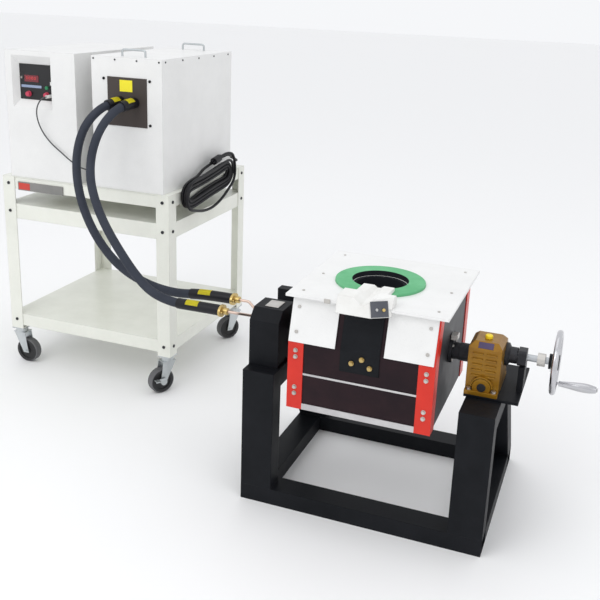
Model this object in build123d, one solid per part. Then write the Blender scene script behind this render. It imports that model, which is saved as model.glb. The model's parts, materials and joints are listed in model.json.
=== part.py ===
"""Tilting induction furnace for melting gold, with its power unit on a wheeled cart.

Origin: the floor, at the middle of the underside of the stand's front beam.
+X runs along the tilting shaft towards the handwheel, +Y to the back, +Z up. Millimetres.
"""

import math
import os

from build123d import *

# ---- driving dimensions -------------------------------------------------------------------------
seat_gap = 0.3            # between pieces that nearly touch
running_gap = 0.05        # radial clearance of a shaft in its bearing

# furnace stand
stand_width = 750.0
stand_depth = 590.0
stand_height = 437.0
beam_width = 78.0
beam_height = 52.0
post_width = 100.0
post_depth = 60.0
top_beam_height = 60.0
tube_wall = 4.0
rear_lean = 0.745         # how far a rear leg leans forward, per unit of height

# tilting shaft
shaft_rise = 88.0         # above the stand's top
shaft_depth = 176.0       # behind the front beam's middle
trunnion_radius = 25.0
trunnion_bore = 17.0
trunnion_flange_radius = 50.0
trunnion_flange = 10.0

# furnace box, measured from the tilting shaft
box_side_room = 118.0     # between the box and the two portals, both sides together
box_shift = -13.0         # the box's middle, from the stand's middle
box_ahead = 223.0
box_behind = 255.0
box_below = 175.0
box_above = 167.0
knee_above = 35.0
slant_run = 36.0          # how far the upper front leans back
angle_flange = 47.0
angle_sheet = 3.0
side_sheet = 3.0
board_thickness = 8.0
rail_height = 19.0
strip_height = 6.0
strip_proud = 2.0
lower_board_share = 0.49  # where the strip crosses the front, of the height below the knee

# top plate, covers and spout
plate_thickness = 8.0
plate_overhang_left = 16.0
plate_overhang_right = 24.0
cover_sheet = 3.0
cover_height = 136.0
apron_width = 116.0
apron_drop = 64.0         # below the knee
spout_width = 150.0
spout_shift = 6.0         # its middle, from the box's middle
spout_height = 29.0
spout_hang = 19.0         # the lip's depth below the plate's top
spout_lip = 40.0          # how far the lip stands ahead of the plate
spout_behind = 42.0       # how far its full height reaches over the plate
spout_lean = 17.0         # how far its front leans back
tongue_width = 92.0       # the low part that carries the groove to the crucible
tongue_height = 10.0      # above the ring
groove_width = 58.0
groove_depth = 18.0
clamp_turn = 34.0         # the right front face, turned back from the front and leaning back
clamp_lean = 24.0
clamp_width = 50.0
clamp_height = 44.0

# crucible, lining and coil
pot_shift = -14.0         # the crucible's axis, from the box's middle
pot_behind = 4.0          # and from the tilting shaft
ring_outer_radius = 135.0
ring_bore_radius = 85.0
ring_proud = 8.0
crucible_radius = 83.0
crucible_wall = 11.0
crucible_depth = 215.0
lining_wall = 17.0
hearth_thickness = 30.0
coil_turns = 8
coil_pitch = 20.0
coil_tube_radius = 7.0
water_tube_radius = 4.5
water_tube_spread = 8.0   # each tube's distance from the shaft's axis

# left bearing
cheek_width = 95.0
front_cheek_reach = 171.0 # from the shaft to the cheek's outer face
rear_cheek_reach = 114.0
front_cheek_depth = 118.0
rear_cheek_depth = 66.0
cheek_base = 43.0
front_cheek_rise = 88.0
rear_cheek_rise = 86.0
cheek_chamfer = 32.0
pillow_radius = 45.0
pillow_width = 52.0

# gearbox
gearbox_width = 94.0
gearbox_ahead = 91.0      # from the shaft to its front face
gearbox_behind = 56.0
gearbox_gap = 8.0         # how far it stands in from the portal's inner face
gearbox_above = 73.0
gearbox_wall = 8.0
gearbox_corner = 14.0
gearbox_brow = 18.0       # the slopes of its top, towards the front and the back
gearbox_back_slope = 52.0
gear_plate = 8.0
gear_plate_overhang = 46.0
gear_plate_ahead = 109.0
gear_plate_behind = 154.0
output_radius = 16.0
input_rise = 17.0         # the handwheel shaft's height above the tilting shaft
input_radius = 10.0
worm_drop = 56.0
worm_radius = 13.0
worm_shaft_radius = 8.0
wheel_radius = 42.5
wheel_width = 20.0
cover_radius = 26.0
cover_depth = 12.0
rib_rows = 5
coupling_radius = 27.0
coupling_disc = 14.0
stub_flange_radius = 38.0
cone_length = 34.0
bearing_side = 46.0
bearing_length = 24.0

# handwheel
wheel_reach = 128.0       # from the post's outer face to the rim's plane
rim_radius = 85.0
rim_section = 8.5
hub_radius = 22.0
hub_length = 28.0
spoke_radius = 6.5
grip_offset = 85.0
grip_angle = 23.5         # from straight down, towards the back
grip_length = 104.0
grip_radius = 13.5
spindle_radius = 4.0

# cart
cart_width = 740.0
cart_depth = 660.0
cart_height = 790.0
cart_gap = 550.0          # from the stand's left side to the cart's right side
cart_setback = 540.0      # from the stand's front to the cart's front
leg_flange = 55.0
cart_sheet = 3.0
leg_bottom = 150.0
rail_drop = 50.0
middle_shelf_drop = 110.0
middle_skirt = 60.0
bottom_shelf_top = 215.0
bottom_skirt = 50.0

# casters
wheel_size = 50.0         # wheel radius
wheel_tread = 32.0
caster_trail = 30.0
caster_angles = {"front_left": 0.0, "front_right": 238.0, "rear_right": 235.0, "rear_left": 200.0}
kingpin_radius = 6.0
axle_radius = 5.0
fork_sheet = 3.0

# cabinets
cabinet_width = 312.0
station_width = 292.0
cabinet_gap = 71.0
cabinet_depth = 565.0
cabinet_height = 485.0
cabinet_inset = 40.0      # from the cart's left side
cabinet_setback = 5.0
cabinet_sheet = 2.0
recess_depth = 25.0
handle_width = 96.0
handle_height = 28.0
handle_radius = 4.0
handle_inset = 54.0       # from the station's front and back
inside_room = 50.0        # between the cabinets' walls and what stands in them
transformer_ahead = 150.0
transformer_depth = 200.0
transformer_height = 190.0
inverter_ahead = 180.0
inverter_behind = 60.0
inverter_height = 220.0
capacitor_radius = 28.0
capacitor_height = 170.0
capacitor_count = 4

# terminal plate on the heat station
terminal_inset_left = 68.0
terminal_width = 162.0
terminal_rise = 240.0
terminal_height = 175.0
terminal_thickness = 3.0
terminal_screw_radius = 5.0

# leads and cables
lead_radius = 15.0
lead_exit_inset = 122.0   # the outer lead, from the station's left side
lead_exit_spacing = 58.0
lead_exit_rise = 328.0    # above the cart's deck
control_radius = 2.5
control_socket_rise = 55.0
control_socket_inset = 90.0
control_plug_radius = 6.0
mains_radius = 5.5
mains_gland_rise = 48.0
mains_gland_inset = 42.0  # from the station's right side
mains_gland_length = 16.0
hank_length = 446.0
hank_height = 130.0
hank_thickness = 40.0
hank_tilt = 8.0

# ---- places worked out from the driving dimensions ----------------------------------------------
stand_front = -beam_width / 2
stand_back = stand_front + stand_depth
stand_left = -stand_width / 2
stand_right = stand_width / 2
shaft_z = stand_height + shaft_rise

box_width = stand_width - 2 * post_width - box_side_room
cover_width = (box_width - spout_width) / 2
box_left = box_shift - box_width / 2
box_right = box_shift + box_width / 2
box_front = shaft_depth - box_ahead
box_back = shaft_depth + box_behind
box_bottom = shaft_z - box_below
box_top = shaft_z + box_above
knee_z = shaft_z + knee_above
pot_x = box_shift + pot_shift
pot_y = shaft_depth + pot_behind
plate_top = box_top + plate_thickness
panel_left = box_left + angle_sheet
panel_right = box_right - angle_sheet

portal_inner = stand_right - post_width
gearbox_left = portal_inner - gearbox_gap
gearbox_right = gearbox_left + gearbox_width
gearbox_bottom = stand_height + gear_plate
gearbox_front = shaft_depth - gearbox_ahead
gearbox_back = shaft_depth + gearbox_behind
gearbox_top = shaft_z + gearbox_above
worm_x = gearbox_left + gearbox_width / 2
worm_z = shaft_z - worm_drop
input_z = shaft_z + input_rise
plate_right = stand_right + gear_plate_overhang
rim_x = stand_right + wheel_reach

cart_right = stand_left - cart_gap
cart_left = cart_right - cart_width
cart_front = stand_front + cart_setback
cart_back = cart_front + cart_depth
middle_shelf_top = cart_height - middle_shelf_drop
cabinet_left = cart_left + cabinet_inset
cabinet_right = cabinet_left + cabinet_width
station_left = cabinet_right + cabinet_gap
station_right = station_left + station_width
cabinet_front = cart_front + cabinet_setback
cabinet_back = cabinet_front + cabinet_depth
cabinet_top = cart_height + cabinet_height


# ---- helpers ------------------------------------------------------------------------------------
def block(x0, x1, y0, y1, z0, z1):
    """A box between two corners."""
    middle = Pos((x0 + x1) / 2, (y0 + y1) / 2, (z0 + z1) / 2)
    return middle * Box(abs(x1 - x0), abs(y1 - y0), abs(z1 - z0))


def rod_x(x0, x1, y, z, radius):
    """A round bar along X."""
    return Pos((x0 + x1) / 2, y, z) * Rot(0, 90, 0) * Cylinder(radius, x1 - x0)


def rod_y(x, y0, y1, z, radius):
    """A round bar along Y."""
    return Pos(x, (y0 + y1) / 2, z) * Rot(90, 0, 0) * Cylinder(radius, y1 - y0)


def rod_z(x, y, z0, z1, radius):
    """A round bar along Z."""
    return Pos(x, y, (z0 + z1) / 2) * Cylinder(radius, z1 - z0)


def slab_yz(points, x0, x1):
    """A flat piece whose outline is drawn in Y and Z, between two X places."""
    face = make_face(Plane.YZ.offset(x0) * Polyline(*points, close=True))
    return extrude(face, x1 - x0, dir=(1, 0, 0))


def write(node, *shapes):
    """Writes one node, as a group of separate solids."""
    solids = [solid for shape in shapes for solid in shape.solids()]
    group = solids[0] if len(solids) == 1 else Compound(children=solids)
    export_step(group, f"parts/{node}.step")


def tube_along(points, radius):
    """A round tube along straight runs joined by tangent arcs."""
    vectors = [Vector(*point) for point in points]
    radii = []
    for before, corner, after in zip(vectors, vectors[1:], vectors[2:]):
        turn = (corner - before).get_angle(after - corner)
        shorter = min((corner - before).length, (after - corner).length)
        radii.append(0.45 * shorter / math.tan(math.radians(turn / 2)))
    path = FilletPolyline(*vectors, radius=radii)
    section = Plane(origin=vectors[0], z_dir=vectors[1] - vectors[0]) * Circle(radius)
    tube = sweep(section, path=path)
    expected = math.pi * radius**2 * path.length
    print(f"tube r {radius}: length {path.length:.0f}, tightest {min(radii):.0f}, "
          f"volume ratio {tube.volume / expected:.4f}")
    return tube


# ---- furnace stand ------------------------------------------------------------------------------
def stand_beam(axis, x0, x1, y0, y1, z0, z1):
    """A rectangular steel tube, open through both ends along its axis."""
    wall = tube_wall
    ends = {"x": (0, wall, wall), "y": (wall, 0, wall), "z": (wall, wall, 0)}[axis]
    inner = block(x0 + ends[0], x1 - ends[0], y0 + ends[1], y1 - ends[1], z0 + ends[2], z1 - ends[2])
    return block(x0, x1, y0, y1, z0, z1) - inner


beam_low = stand_height - top_beam_height
leg_thickness = post_depth * math.hypot(1, rear_lean)      # measured level, across the lean
leg_top_back = stand_back - rear_lean * (beam_low - beam_height)


def leg_outline(inset):
    """The side view of a leaning rear leg, drawn in by an inset across its faces."""
    level = inset * math.hypot(1, rear_lean)
    top = leg_top_back - level
    bottom = stand_back - level
    width = leg_thickness - 2 * level
    return [(bottom, beam_height), (top, beam_low), (top - width, beam_low), (bottom - width, beam_height)]


def make_stand():
    members = []
    for y0 in (stand_front, stand_back - beam_width):
        members.append(stand_beam("x", stand_left, stand_right, y0, y0 + beam_width, 0, beam_height))
    for x0 in (stand_left, stand_right - beam_width):
        members.append(stand_beam("y", x0, x0 + beam_width, stand_front + beam_width,
                                  stand_back - beam_width, 0, beam_height))
    for x0 in (stand_left, stand_right - post_width):
        x1 = x0 + post_width
        front_end = stand_front + post_depth
        post = stand_beam("z", x0, x1, stand_front, front_end, beam_height, stand_height)
        cap = block(x0 + tube_wall, x1 - tube_wall, stand_front + tube_wall, front_end - tube_wall,
                    stand_height - tube_wall, stand_height)
        members.append(post + cap)
        leg = slab_yz(leg_outline(0), x0, x1)
        leg -= slab_yz(leg_outline(tube_wall), x0 + tube_wall, x1 - tube_wall)
        members.append(leg)
        beam = stand_beam("y", x0, x1, front_end, leg_top_back, beam_low, stand_height)
        beam_cap = block(x0 + tube_wall, x1 - tube_wall, leg_top_back - tube_wall, leg_top_back,
                         beam_low + tube_wall, stand_height - tube_wall)
        members.append(beam + beam_cap)
    write("stand_frame", *members)


def make_left_bearing():
    x0, x1 = stand_left, stand_left + cheek_width
    base_top = stand_height + cheek_base
    front, back = shaft_depth - front_cheek_reach, shaft_depth + rear_cheek_reach
    front_inner, rear_inner = front + front_cheek_depth, back - rear_cheek_depth
    base = block(x0, x1, front, back, stand_height, base_top)
    front_top, rear_top = shaft_z + front_cheek_rise, shaft_z + rear_cheek_rise
    front_cheek = slab_yz([(front, base_top), (front, front_top - cheek_chamfer),
                           (front + cheek_chamfer, front_top), (front_inner, front_top),
                           (front_inner, base_top)], x0, x1)
    rear_cheek = slab_yz([(back, base_top), (back, rear_top - cheek_chamfer),
                          (back - cheek_chamfer, rear_top), (rear_inner, rear_top),
                          (rear_inner, base_top)], x0, x1)
    write("bearing_cheeks", base + front_cheek + rear_cheek)

    middle = (x0 + x1) / 2
    half = pillow_width / 2
    reach = rear_inner - shaft_depth - seat_gap
    foot = block(middle - half, middle + half, shaft_depth - reach, shaft_depth + reach,
                 base_top, base_top + 14)
    body = rod_x(middle - half, middle + half, shaft_depth, shaft_z, pillow_radius)
    neck = block(middle - half, middle + half, shaft_depth - pillow_radius, shaft_depth + pillow_radius,
                 base_top, shaft_z)
    bore = rod_x(middle - half, middle + half, shaft_depth, shaft_z, trunnion_radius + running_gap)
    write("pillow_block", foot + neck + body - bore)


# ---- gearbox and handwheel ----------------------------------------------------------------------
def make_gearbox():
    plate_front = shaft_depth - gear_plate_ahead
    plate_back = shaft_depth + gear_plate_behind
    plate = block(gearbox_left, plate_right, plate_front, plate_back, stand_height, gearbox_bottom)
    bracket = block(plate_right - bearing_length / 2 - 5, plate_right, shaft_depth - 30, shaft_depth + 30,
                    gearbox_bottom, input_z - bearing_side / 2)
    foot_reach, foot_thickness = 18.0, 12.0
    foot_top = gearbox_bottom + foot_thickness
    bolts = []
    for y in (gearbox_front - foot_reach / 2, gearbox_back + foot_reach / 2):
        for x in (gearbox_left + 12, gearbox_right - 12):
            bolts.append(rod_z(x, y, foot_top, foot_top + 7, 7))
    write("gearbox_plate", plate + bracket, *bolts)

    body = block(gearbox_left, gearbox_right, gearbox_front, gearbox_back, gearbox_bottom, gearbox_top)
    body = chamfer(body.edges().filter_by(Axis.Y).group_by(Axis.Z)[-1], gearbox_corner)
    slopes = slab_yz([(gearbox_front, gearbox_top - gearbox_brow), (gearbox_front, gearbox_top + 1),
                      (gearbox_front + gearbox_brow, gearbox_top + 1), (gearbox_front + gearbox_brow, gearbox_top)],
                     gearbox_left, gearbox_right)
    slopes += slab_yz([(gearbox_back, gearbox_top - gearbox_back_slope), (gearbox_back, gearbox_top + 1),
                       (gearbox_back - gearbox_back_slope, gearbox_top + 1),
                       (gearbox_back - gearbox_back_slope, gearbox_top)], gearbox_left, gearbox_right)
    body -= slopes
    feet = block(gearbox_left, gearbox_right, gearbox_front - foot_reach, gearbox_back + foot_reach,
                 gearbox_bottom, foot_top)
    ribs = None
    rib_pitch = (gearbox_top - gearbox_bottom - 70) / rib_rows
    for row in range(rib_rows):
        z = gearbox_bottom + 52 + row * rib_pitch
        for side in (-1, 1):
            x = worm_x + side * 19
            rib = block(x - 15, x + 15, gearbox_front - 5, gearbox_front, z, z + 5)
            ribs = rib if ribs is None else ribs + rib
    inside = slab_yz([(gearbox_front + gearbox_wall, gearbox_bottom + gearbox_wall),
                      (gearbox_front + gearbox_wall, gearbox_top - gearbox_brow - gearbox_wall),
                      (gearbox_front + gearbox_brow + gearbox_wall, gearbox_top - gearbox_wall - 2),
                      (gearbox_back - gearbox_back_slope - 4, gearbox_top - gearbox_wall - 2),
                      (gearbox_back - gearbox_wall, gearbox_top - gearbox_back_slope - gearbox_wall),
                      (gearbox_back - gearbox_wall, gearbox_bottom + gearbox_wall)],
                     gearbox_left + gearbox_wall, gearbox_right - gearbox_wall)
    housing = body + feet + ribs - inside
    housing -= rod_x(gearbox_left - 1, worm_x, shaft_depth, shaft_z, output_radius + running_gap)
    housing -= rod_x(worm_x, gearbox_right + 1, shaft_depth, input_z, input_radius + running_gap)
    housing -= rod_y(worm_x, gearbox_front - 6, gearbox_back + 6, worm_z, worm_shaft_radius + running_gap)
    breather_hole = rod_z(worm_x, shaft_depth - 40, gearbox_top - 30, gearbox_top, 5)
    write("gearbox_housing", housing - breather_hole)

    covers = []
    for y0, y1 in ((gearbox_front - cover_depth, gearbox_front), (gearbox_back, gearbox_back + cover_depth)):
        cover = rod_y(worm_x, y0, y1, worm_z, cover_radius)
        cover -= block(worm_x - cover_radius, worm_x + cover_radius, y0, y1, worm_z - cover_radius, foot_top)
        cover -= rod_y(worm_x, y0, y1, worm_z, worm_shaft_radius + 2)
        covers.append(cover)
    write("gearbox_covers", *covers)

    cone = revolve(Plane.XY * make_face(Polyline((0, 0), (34, 0), (34, 8), (24, 14), (24, cone_length),
                                                 (0, cone_length), close=True)), Axis.Y)
    cone = Pos(gearbox_right, shaft_depth, input_z) * Rot(0, 0, -90) * cone
    write("input_flange", cone - rod_x(gearbox_right, gearbox_right + cone_length, shaft_depth, input_z,
                                       input_radius + 1.5))

    bearing = block(plate_right - bearing_length, plate_right, shaft_depth - bearing_side / 2,
                    shaft_depth + bearing_side / 2, input_z - bearing_side / 2, input_z + bearing_side / 2)
    bearing = fillet(bearing.edges().filter_by(Axis.X), 8)
    write("outboard_bearing", bearing - rod_x(plate_right - bearing_length, plate_right, shaft_depth,
                                              input_z, input_radius + running_gap))

    stem = rod_z(worm_x, shaft_depth - 40, gearbox_top - 12, gearbox_top, 4.7)
    cap = rod_z(worm_x, shaft_depth - 40, gearbox_top, gearbox_top + 10, 11)
    write("oil_breather", fillet(cap.edges().group_by(Axis.Z)[-1], 4) + stem)

    worm = rod_y(worm_x, gearbox_front - cover_depth + 3, gearbox_back - gearbox_wall / 2, worm_z,
                 worm_shaft_radius)
    worm += rod_y(worm_x, shaft_depth - 34, shaft_depth + 34, worm_z, worm_radius)
    write("cross_worm", worm)


def make_handwheel():
    shaft_start = worm_x + wheel_width
    shaft = rod_x(shaft_start, rim_x + hub_length / 4, shaft_depth, input_z, input_radius)
    shaft += rod_x(shaft_start, gearbox_right - gearbox_wall - 4, shaft_depth, input_z, 18)
    collar_x = plate_right + 30
    shaft += rod_x(collar_x, collar_x + 22, shaft_depth, input_z, 19)
    write("input_shaft", shaft)

    hub = rod_x(rim_x - 20, rim_x - 20 + hub_length, shaft_depth, input_z, hub_radius)
    rim = Pos(rim_x, shaft_depth, input_z) * Rot(0, 90, 0) * Torus(rim_radius, rim_section)
    wheel = hub + rim
    for turn in range(3):
        spoke_length = rim_radius - hub_radius + 8
        spoke = Pos(0, 0, hub_radius - 4 + spoke_length / 2) * Cylinder(spoke_radius, spoke_length)
        wheel += Pos(rim_x - 4, shaft_depth, input_z) * Rot(180 + grip_angle + turn * 120, 0, 0) * spoke
    wheel -= rod_x(rim_x - 21, rim_x + hub_length / 4 + seat_gap, shaft_depth, input_z,
                   input_radius + running_gap)
    grip_y = shaft_depth + grip_offset * math.sin(math.radians(grip_angle))
    grip_z = input_z - grip_offset * math.cos(math.radians(grip_angle))
    print(f"grip axis y {grip_y:.3f}, z {grip_z:.3f}")
    grip_start = rim_x + rim_section + 4
    wheel += rod_x(rim_x, grip_start + grip_length + 3, grip_y, grip_z, spindle_radius)
    wheel += rod_x(grip_start + grip_length + 0.6, grip_start + grip_length + 4, grip_y, grip_z, 6)
    write("handwheel", wheel)

    outline = Spline((8, 0), (10.5, grip_length * 0.3), (grip_radius, grip_length * 0.66),
                     (9, grip_length))
    profile = make_face(Polyline((9, grip_length), (spindle_radius + running_gap, grip_length),
                                 (spindle_radius + running_gap, 0), (8, 0)) + outline)
    grip = Pos(grip_start, grip_y, grip_z) * Rot(0, 0, -90) * revolve(profile, Axis.Y)
    write("crank_grip", grip)


# ---- furnace box --------------------------------------------------------------------------------
slant_slope = slant_run / (box_top - knee_z)


def front_y(z):
    """The box's front, at a height."""
    return box_front + max(0.0, z - knee_z) * slant_slope


def front_band(thickness, inset=0.0, z0=None, z1=None):
    """The outline of a sheet that follows the bent front, set back by an inset."""
    low = box_bottom if z0 is None else z0
    high = box_top if z1 is None else z1
    levels = [low] + [z for z in (knee_z,) if low < z < high] + [high]
    outer = [(front_y(z) + inset, z) for z in levels]
    inner = [(front_y(z) + inset + thickness, z) for z in reversed(levels)]
    return outer + inner


def make_frame_angles():
    posts = []
    for side, x_face in ((-1, box_left), (1, box_right)):
        x_in, x_sheet = x_face - side * angle_flange, x_face - side * angle_sheet
        face = slab_yz(front_band(angle_sheet), min(x_face, x_in), max(x_face, x_in))
        flank = slab_yz(front_band(angle_flange), min(x_face, x_sheet), max(x_face, x_sheet))
        posts.append(face + flank)
        back_face = block(x_face, x_in, box_back - angle_sheet, box_back, box_bottom, box_top)
        back_flank = block(x_face, x_sheet, box_back - angle_flange, box_back, box_bottom, box_top)
        posts.append(back_face + back_flank)
    write("corner_posts", *posts)


def make_panels():
    inner_back = box_back - angle_sheet
    sides = []
    for side, x_out in ((-1, panel_left), (1, panel_right)):
        x_in = x_out - side * side_sheet
        outline = [(front_y(z) + angle_sheet, z) for z in (box_bottom, knee_z, box_top)]
        outline += [(inner_back, box_top), (inner_back, box_bottom)]
        panel = slab_yz(outline, min(x_in, x_out), max(x_in, x_out))
        if side < 0:
            panel -= rod_x(x_out - 1, x_in + 1, shaft_depth, shaft_z, trunnion_bore)
        sides.append(panel)
    write("side_panels", *sides)

    x0, x1 = panel_left + side_sheet, panel_right - side_sheet
    floor_top = box_bottom + board_thickness
    split = box_bottom + rail_height + (knee_z - box_bottom - rail_height) * lower_board_share
    inset = angle_sheet
    lower = slab_yz(front_band(board_thickness, inset, floor_top, split - strip_height / 2), x0, x1)
    upper = slab_yz(front_band(board_thickness, inset, split + strip_height / 2, box_top), x0, x1)
    rear = block(x0, x1, inner_back - board_thickness, inner_back, floor_top, box_top)
    floor = block(x0, x1, box_front + angle_sheet, inner_back, box_bottom, floor_top)
    write("bakelite_boards", lower, upper, rear, floor)

    strip_x0, strip_x1 = box_left + angle_flange, box_right - angle_flange
    strip = block(strip_x0, strip_x1, box_front - strip_proud + angle_sheet, box_front + angle_sheet
                  + board_thickness, split - strip_height / 2, split + strip_height / 2)
    rail = block(strip_x0, strip_x1, box_front, box_front + angle_sheet, box_bottom,
                 box_bottom + rail_height)
    write("aluminium_rails", strip, rail)


def make_top():
    x0, x1 = box_left - plate_overhang_left, box_right + plate_overhang_right
    plate = block(x0, x1, stand_front, box_back, box_top, plate_top)
    hole = rod_z(pot_x, pot_y, box_top, plate_top, ring_outer_radius + seat_gap)
    write("top_plate", plate - hole)

    ring = rod_z(pot_x, pot_y, box_top, plate_top + ring_proud, ring_outer_radius)
    ring = fillet(ring.edges().group_by(Axis.Z)[-1], 3)
    bore = rod_z(pot_x, pot_y, box_top, plate_top + ring_proud, ring_bore_radius)
    write("refractory_ring", ring - bore)


def slanted(x0, x1, z0, z1, lift, thickness):
    """A flat sheet lying ahead of the slanted upper front."""
    outline = [(front_y(z0) - lift, z0), (front_y(z1) - lift, z1),
               (front_y(z1) - lift - thickness, z1), (front_y(z0) - lift - thickness, z0)]
    return slab_yz(outline, x0, x1)


def make_covers(spout_clamp):
    top = box_top - seat_gap
    covers = [slanted(box_left + 1, box_left + 1 + cover_width, knee_z, top, 0, cover_sheet),
              slanted(box_right - 5 - cover_width, box_right - 5, knee_z, top, 0, cover_sheet)]
    write("front_covers", *covers)

    x0, x1 = box_shift - apron_width / 2, box_shift + apron_width / 2
    low = knee_z - apron_drop
    sheet = cover_sheet
    outline = [(box_front + angle_sheet, low), (box_front + angle_sheet, knee_z),
               (front_y(top) + angle_sheet, top), (front_y(top) + angle_sheet - sheet, top),
               (box_front + angle_sheet - sheet, knee_z), (box_front + angle_sheet - sheet, low)]
    write("apron_plate", slab_yz(outline, x0, x1), *spout_clamp)

    nuts = []
    for dx, dz in ((-23, -34), (7, -18), (31, -40)):
        nut_y = box_front + angle_sheet - sheet
        nut = rod_y(box_shift + dx, nut_y - 4, nut_y, knee_z + dz, 7.5)
        nut += rod_y(box_shift + dx, nut_y - 9, nut_y - 4, knee_z + dz, 5.5)
        nuts.append(nut)
    write("brass_nuts", *nuts)


def make_spout():
    plate_front = stand_front
    front = plate_front - spout_lip
    full_back = plate_front + spout_behind
    middle = box_shift + spout_shift
    x0, x1 = middle - spout_width / 2, middle + spout_width / 2
    top = plate_top + spout_height
    low = plate_top - spout_hang
    ring_top = plate_top + ring_proud + seat_gap
    ring_edge = pot_y - ring_outer_radius - seat_gap
    mouth = pot_y - ring_bore_radius
    outline = [(front, low), (plate_front - seat_gap, low), (plate_front - seat_gap, plate_top),
               (full_back + 14, plate_top), (full_back, top), (front + spout_lean, top)]
    spout = slab_yz(outline, x0, x1)
    tongue_x0, tongue_x1 = middle - tongue_width / 2, middle + tongue_width / 2
    spout += slab_yz([(full_back, plate_top), (ring_edge, plate_top), (ring_edge, ring_top), (mouth, ring_top),
                      (mouth, ring_top + tongue_height), (full_back, top - 6)], tongue_x0, tongue_x1)
    half = groove_width / 2
    groove_low = ring_top + 3
    channel = make_face(Plane.XZ.offset(-mouth - 1) * Polyline(
        (middle - half, top + 1), (middle + half, top + 1), (middle + 5, groove_low), (middle - 5, groove_low),
        close=True))
    spout -= extrude(channel, mouth - front + 2, dir=(0, -1, 0))

    turn, lean = math.radians(clamp_turn), math.radians(clamp_lean)
    outward = (math.sin(turn) * math.cos(lean), -math.cos(turn) * math.cos(lean), math.sin(lean))
    face = Plane(origin=(middle + 26, front, low), x_dir=(math.cos(turn), math.sin(turn), 0), z_dir=outward)
    spout -= face * Pos(60, 20, 40) * Box(180, 160, 80)
    write("spout_block", spout)

    clamp = face * Pos(clamp_width / 2 + 3, clamp_height / 2 + 2, 1.5 + seat_gap) * Box(clamp_width,
                                                                                     clamp_height, 3)
    clamp -= face * Pos(clamp_width * 0.42, clamp_height * 0.52, 1.5) * Cylinder(4.5, 6)
    screw = face * Pos(clamp_width * 0.78, clamp_height * 0.48, 5 + seat_gap) * Cylinder(4.5, 4)
    return clamp, screw


def make_hearth():
    x, y = pot_x, pot_y
    rim = box_top - seat_gap
    base = rim - crucible_depth
    pot = rod_z(x, y, base, rim, crucible_radius)
    pot = fillet(pot.edges().group_by(Axis.Z)[0], 12)
    hollow = rod_z(x, y, base + crucible_wall, rim, crucible_radius - crucible_wall)
    hollow = fillet(hollow.edges().group_by(Axis.Z)[0], 16)
    write("crucible", pot - hollow)

    outer = crucible_radius + lining_wall
    sleeve = rod_z(x, y, base - hearth_thickness, rim, outer)
    sleeve -= rod_z(x, y, base, rim, crucible_radius + seat_gap)
    half = outer * 0.9
    brick = block(x - half, x + half, y - half, y + half, box_bottom + board_thickness,
                  base - hearth_thickness)
    write("furnace_lining", sleeve, brick)



def make_trunnions():
    left_end = stand_left - 10
    tube = rod_x(left_end, panel_left, shaft_depth, shaft_z, trunnion_radius)
    tube += rod_x(panel_left - trunnion_flange, panel_left, shaft_depth, shaft_z, trunnion_flange_radius)
    tube -= rod_x(left_end, panel_left, shaft_depth, shaft_z, trunnion_bore)
    stub = rod_x(panel_right, panel_right + trunnion_flange, shaft_depth, shaft_z, stub_flange_radius)
    disc_x = gearbox_left - 9 - 2 * coupling_disc
    stub += rod_x(panel_right + trunnion_flange, disc_x, shaft_depth, shaft_z, trunnion_radius)
    stub += rod_x(disc_x, disc_x + coupling_disc, shaft_depth, shaft_z, coupling_radius)
    write("trunnions", tube, stub)

    shaft = rod_x(disc_x + coupling_disc, disc_x + 2 * coupling_disc, shaft_depth, shaft_z, coupling_radius)
    shaft += rod_x(disc_x + 2 * coupling_disc, gearbox_left - 2, shaft_depth, shaft_z, 17)
    shaft += rod_x(gearbox_left - 2, worm_x + wheel_width / 2 + 6, shaft_depth, shaft_z, output_radius)
    shaft += rod_x(worm_x - wheel_width / 2, worm_x + wheel_width / 2, shaft_depth, shaft_z, wheel_radius)
    write("output_shaft", shaft)

    bolts = []
    for step in range(6):
        angle = math.radians(30 + 60 * step)
        y = shaft_depth + (coupling_radius - 5) * math.cos(angle)
        z = shaft_z + (coupling_radius - 5) * math.sin(angle)
        bolts.append(rod_x(disc_x + 2 * coupling_disc, disc_x + 2 * coupling_disc + 4, y, z, 4))
    for step in range(4):
        angle = math.radians(45 + 90 * step)
        y = shaft_depth + 39 * math.cos(angle)
        z = shaft_z + 39 * math.sin(angle)
        bolts.append(rod_x(panel_left - trunnion_flange - 5, panel_left - trunnion_flange, y, z, 6))
        y = shaft_depth + 31 * math.cos(angle)
        z = shaft_z + 31 * math.sin(angle)
        bolts.append(rod_x(panel_right + trunnion_flange, panel_right + trunnion_flange + 4, y, z, 4))
    return bolts


def make_screws(coupling_bolts):
    heads = list(coupling_bolts)
    for x in (box_left + angle_flange / 2, box_right - angle_flange / 2):
        for share in (0.28, 0.83):
            z_pair = box_bottom + (knee_z - box_bottom) * share
            for dz in (-10, 10):
                heads.append(rod_y(x, box_front - 3, box_front, z_pair + dz, 4.5))
                heads.append(rod_y(x, box_back, box_back + 3, z_pair + dz, 4.5))
    write("box_bolts", *heads)

    screws = []
    plate_x0, plate_x1 = box_left - plate_overhang_left, box_right + plate_overhang_right
    for x in (plate_x0 + 38, plate_x1 - 38):
        for y in (stand_front + 45, shaft_depth, box_back - 42):
            screws.append(rod_z(x, y, plate_top, plate_top + 2, 4))
    for x in (box_left + 22, box_right - 26):
        for z in (knee_z + 30, box_top - 32):
            y = front_y(z) - cover_sheet
            lean = math.degrees(math.atan(slant_slope))
            screw = Pos(x, y - 1.5, z) * Rot(90 - lean, 0, 0) * Cylinder(5, 3)
            screws.append(screw - slanted(x - 10, x + 10, z - 12, z + 12, -20, 20 + cover_sheet))
    write("cover_screws", *screws)


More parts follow.
